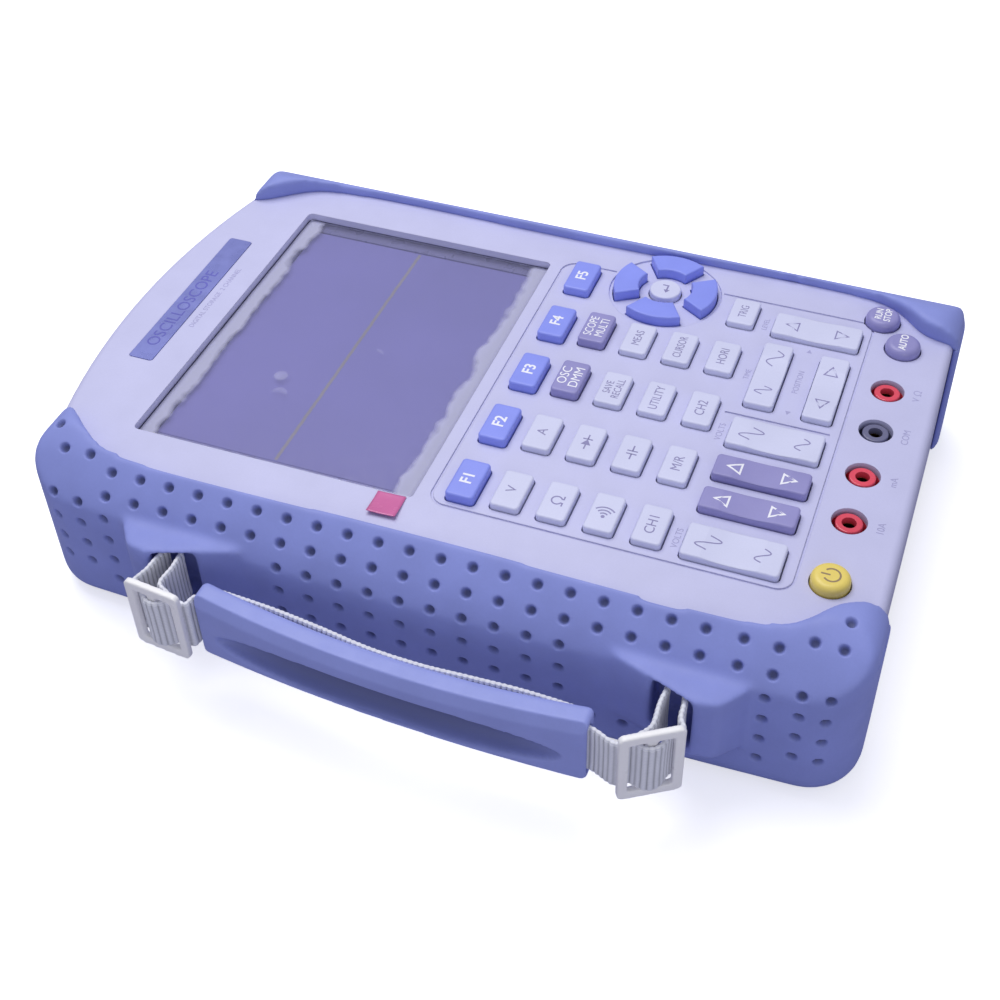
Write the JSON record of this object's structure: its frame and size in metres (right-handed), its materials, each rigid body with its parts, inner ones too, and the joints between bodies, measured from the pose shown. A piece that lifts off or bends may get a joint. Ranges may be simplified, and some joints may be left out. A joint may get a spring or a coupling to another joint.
{
  "type": "handheld oscilloscope",
  "caption": "Handheld oscilloscope with colour display, keypad with rocker keys, test-lead jacks, dimpled rubber bumpers, webbing side handle and folding stand.",
  "frame": {"origin": "middle of the whole device's bounding box, handle at rest included, on the plane the bumpers rest on with the device on its back", "axes": "+Z out of the face, +Y towards the display end, +X towards the user's right; the handle is on the -X side"},
  "size_m": [0.196, 0.245, 0.0519],
  "materials": {
    "face": "fine satin texture",
    "case": "fine satin texture",
    "bumper": "matte moulded rubber with dimples",
    "window": "clear polished",
    "film": "clear film",
    "lcd": "dark display",
    "plate": "satin",
    "silicone": "matte",
    "board": "soldermask",
    "battery": "shrink wrap",
    "stand": "satin",
    "steel": "plated",
    "nickel": "nickel plated",
    "jack_red": "moulded",
    "jack_black": "moulded",
    "contact": "machined",
    "grip": "satin moulded",
    "webbing": "ribbed weave",
    "buckle": "satin moulded",
    "key_blue": "satin",
    "key_white": "satin",
    "key_dark": "satin",
    "key_yellow": "satin"
  },
  "bodies": {
    "housing": {"front_shell": "face", "rear_shell": "case", "left_bumper": "bumper", "right_bumper": "bumper", "display_window": "window", "screen_film": "film", "lcd_module": "lcd", "nameplate": "plate", "keypad_mat": "silicone", "main_board": "board", "battery_pack": "battery", "port_sockets": "steel", "bnc_connectors": "nickel", "banana_jacks_red": "jack_red", "banana_jack_black": "jack_black", "jack_contacts": "contact", "case_screws": "steel"},
    "handle": {"handle_grip": "grip", "handle_webbing": "webbing", "strap_buckles": "buckle"},
    "stand": {"tilt_stand": "stand"},
    "battery_lid": {"battery_door": "case"},
    "port_flap": {"port_cover": "bumper"},
    "key_f1_cap": {"key_f1": "key_blue"},
    "key_f2_cap": {"key_f2": "key_blue"},
    "key_f3_cap": {"key_f3": "key_blue"},
    "key_f4_cap": {"key_f4": "key_blue"},
    "key_f5_cap": {"key_f5": "key_blue"},
    "key_volts_cap": {"key_volts": "key_white"},
    "key_amps_cap": {"key_amps": "key_white"},
    "key_ohms_cap": {"key_ohms": "key_white"},
    "key_diode_cap": {"key_diode": "key_white"},
    "key_save_cap": {"key_save": "key_white"},
    "key_measure_cap": {"key_measure": "key_white"},
    "key_beeper_cap": {"key_beeper": "key_white"},
    "key_farads_cap": {"key_farads": "key_white"},
    "key_utility_cap": {"key_utility": "key_white"},
    "key_cursor_cap": {"key_cursor": "key_white"},
    "key_channel_1_cap": {"key_channel_1": "key_white"},
    "key_math_cap": {"key_math": "key_white"},
    "key_channel_2_cap": {"key_channel_2": "key_white"},
    "key_sweep_cap": {"key_sweep": "key_white"},
    "key_trigger_cap": {"key_trigger": "key_white"},
    "key_mode_cap": {"key_mode": "key_dark"},
    "key_multi_cap": {"key_multi": "key_dark"},
    "key_right_cap": {"key_right": "key_blue"},
    "key_up_cap": {"key_up": "key_blue"},
    "key_left_cap": {"key_left": "key_blue"},
    "key_down_cap": {"key_down": "key_blue"},
    "key_enter_cap": {"key_enter": "key_white"},
    "key_run_cap": {"key_run": "key_dark"},
    "key_auto_cap": {"key_auto": "key_dark"},
    "key_power_cap": {"key_power": "key_yellow"},
    "rocker_volts_1_bar": {"rocker_volts_1": "key_white"},
    "rocker_position_1_bar": {"rocker_position_1": "key_dark"},
    "rocker_position_2_bar": {"rocker_position_2": "key_dark"},
    "rocker_volts_2_bar": {"rocker_volts_2": "key_white"},
    "rocker_time_bar": {"rocker_time": "key_white"},
    "rocker_trace_bar": {"rocker_trace": "key_white"},
    "rocker_level_bar": {"rocker_level": "key_white"}
  },
  "joints": [
    {"name": "handle_pull", "type": "slide", "parent": "housing", "child": "handle", "axis": [-1, 0, 0], "range_m": [-0.004, 0.003]},
    {"name": "stand_hinge", "type": "hinge", "parent": "housing", "child": "stand", "pos_m": [0.01278, 0.092, 0.0028], "axis": [1, 0, 0], "range_deg": [0, 60]},
    {"name": "battery_door_lift", "type": "slide", "parent": "housing", "child": "battery_lid", "axis": [0, 0, -1], "range_m": [0, 0.015]},
    {"name": "port_cover_hinge", "type": "hinge", "parent": "housing", "child": "port_flap", "pos_m": [0.04378, 0.1103, 0.012], "axis": [1, 0, 0], "range_deg": [-85, 0]},
    {"name": "key_f1_press", "type": "slide", "parent": "housing", "child": "key_f1_cap", "axis": [0, 0, -1], "range_m": [0, 0.0012], "stiffness_N_per_m": 300},
    {"name": "key_f2_press", "type": "slide", "parent": "housing", "child": "key_f2_cap", "axis": [0, 0, -1], "range_m": [0, 0.0012], "stiffness_N_per_m": 300},
    {"name": "key_f3_press", "type": "slide", "parent": "housing", "child": "key_f3_cap", "axis": [0, 0, -1], "range_m": [0, 0.0012], "stiffness_N_per_m": 300},
    {"name": "key_f4_press", "type": "slide", "parent": "housing", "child": "key_f4_cap", "axis": [0, 0, -1], "range_m": [0, 0.0012], "stiffness_N_per_m": 300},
    {"name": "key_f5_press", "type": "slide", "parent": "housing", "child": "key_f5_cap", "axis": [0, 0, -1], "range_m": [0, 0.0012], "stiffness_N_per_m": 300},
    {"name": "key_volts_press", "type": "slide", "parent": "housing", "child": "key_volts_cap", "axis": [0, 0, -1], "range_m": [0, 0.0012], "stiffness_N_per_m": 300},
    {"name": "key_amps_press", "type": "slide", "parent": "housing", "child": "key_amps_cap", "axis": [0, 0, -1], "range_m": [0, 0.0012], "stiffness_N_per_m": 300},
    {"name": "key_ohms_press", "type": "slide", "parent": "housing", "child": "key_ohms_cap", "axis": [0, 0, -1], "range_m": [0, 0.0012], "stiffness_N_per_m": 300},
    {"name": "key_diode_press", "type": "slide", "parent": "housing", "child": "key_diode_cap", "axis": [0, 0, -1], "range_m": [0, 0.0012], "stiffness_N_per_m": 300},
    {"name": "key_save_press", "type": "slide", "parent": "housing", "child": "key_save_cap", "axis": [0, 0, -1], "range_m": [0, 0.0012], "stiffness_N_per_m": 300},
    {"name": "key_measure_press", "type": "slide", "parent": "housing", "child": "key_measure_cap", "axis": [0, 0, -1], "range_m": [0, 0.0012], "stiffness_N_per_m": 300},
    {"name": "key_beeper_press", "type": "slide", "parent": "housing", "child": "key_beeper_cap", "axis": [0, 0, -1], "range_m": [0, 0.0012], "stiffness_N_per_m": 300},
    {"name": "key_farads_press", "type": "slide", "parent": "housing", "child": "key_farads_cap", "axis": [0, 0, -1], "range_m": [0, 0.0012], "stiffness_N_per_m": 300},
    {"name": "key_utility_press", "type": "slide", "parent": "housing", "child": "key_utility_cap", "axis": [0, 0, -1], "range_m": [0, 0.0012], "stiffness_N_per_m": 300},
    {"name": "key_cursor_press", "type": "slide", "parent": "housing", "child": "key_cursor_cap", "axis": [0, 0, -1], "range_m": [0, 0.0012], "stiffness_N_per_m": 300},
    {"name": "key_channel_1_press", "type": "slide", "parent": "housing", "child": "key_channel_1_cap", "axis": [0, 0, -1], "range_m": [0, 0.0012], "stiffness_N_per_m": 300},
    {"name": "key_math_press", "type": "slide", "parent": "housing", "child": "key_math_cap", "axis": [0, 0, -1], "range_m": [0, 0.0012], "stiffness_N_per_m": 300},
    {"name": "key_channel_2_press", "type": "slide", "parent": "housing", "child": "key_channel_2_cap", "axis": [0, 0, -1], "range_m": [0, 0.0012], "stiffness_N_per_m": 300},
    {"name": "key_sweep_press", "type": "slide", "parent": "housing", "child": "key_sweep_cap", "axis": [0, 0, -1], "range_m": [0, 0.0012], "stiffness_N_per_m": 300},
    {"name": "key_trigger_press", "type": "slide", "parent": "housing", "child": "key_trigger_cap", "axis": [0, 0, -1], "range_m": [0, 0.0012], "stiffness_N_per_m": 300},
    {"name": "key_mode_press", "type": "slide", "parent": "housing", "child": "key_mode_cap", "axis": [0, 0, -1], "range_m": [0, 0.0012], "stiffness_N_per_m": 300},
    {"name": "key_multi_press", "type": "slide", "parent": "housing", "child": "key_multi_cap", "axis": [0, 0, -1], "range_m": [0, 0.0012], "stiffness_N_per_m": 300},
    {"name": "key_right_press", "type": "slide", "parent": "housing", "child": "key_right_cap", "axis": [0, 0, -1], "range_m": [0, 0.0012], "stiffness_N_per_m": 300},
    {"name": "key_up_press", "type": "slide", "parent": "housing", "child": "key_up_cap", "axis": [0, 0, -1], "range_m": [0, 0.0012], "stiffness_N_per_m": 300},
    {"name": "key_left_press", "type": "slide", "parent": "housing", "child": "key_left_cap", "axis": [0, 0, -1], "range_m": [0, 0.0012], "stiffness_N_per_m": 300},
    {"name": "key_down_press", "type": "slide", "parent": "housing", "child": "key_down_cap", "axis": [0, 0, -1], "range_m": [0, 0.0012], "stiffness_N_per_m": 300},
    {"name": "key_enter_press", "type": "slide", "parent": "housing", "child": "key_enter_cap", "axis": [0, 0, -1], "range_m": [0, 0.0012], "stiffness_N_per_m": 300},
    {"name": "key_run_press", "type": "slide", "parent": "housing", "child": "key_run_cap", "axis": [0, 0, -1], "range_m": [0, 0.0012], "stiffness_N_per_m": 300},
    {"name": "key_auto_press", "type": "slide", "parent": "housing", "child": "key_auto_cap", "axis": [0, 0, -1], "range_m": [0, 0.0012], "stiffness_N_per_m": 300},
    {"name": "key_power_press", "type": "slide", "parent": "housing", "child": "key_power_cap", "axis": [0, 0, -1], "range_m": [0, 0.0012], "stiffness_N_per_m": 300},
    {"name": "rocker_volts_1_rock", "type": "hinge", "parent": "housing", "child": "rocker_volts_1_bar", "pos_m": [-0.03512, -0.0795, 0.042], "axis": [1, 0, 0], "range_deg": [-3, 3]},
    {"name": "rocker_position_1_rock", "type": "hinge", "parent": "housing", "child": "rocker_position_1_bar", "pos_m": [-0.01931, -0.0796, 0.042], "axis": [1, 0, 0], "range_deg": [-3, 3]},
    {"name": "rocker_position_2_rock", "type": "hinge", "parent": "housing", "child": "rocker_position_2_bar", "pos_m": [-0.00602, -0.0798, 0.042], "axis": [1, 0, 0], "range_deg": [-3, 3]},
    {"name": "rocker_volts_2_rock", "type": "hinge", "parent": "housing", "child": "rocker_volts_2_bar", "pos_m": [0.00949, -0.0799, 0.042], "axis": [1, 0, 0], "range_deg": [-3, 3]},
    {"name": "rocker_time_rock", "type": "hinge", "parent": "housing", "child": "rocker_time_bar", "pos_m": [0.03639, -0.0717, 0.042], "axis": [0, 1, 0], "range_deg": [-3, 3]},
    {"name": "rocker_trace_rock", "type": "hinge", "parent": "housing", "child": "rocker_trace_bar", "pos_m": [0.03578, -0.0888, 0.042], "axis": [0, 1, 0], "range_deg": [-3, 3]},
    {"name": "rocker_level_rock", "type": "hinge", "parent": "housing", "child": "rocker_level_bar", "pos_m": [0.06089, -0.0807, 0.042], "axis": [1, 0, 0], "range_deg": [-3, 3]}
  ]
}
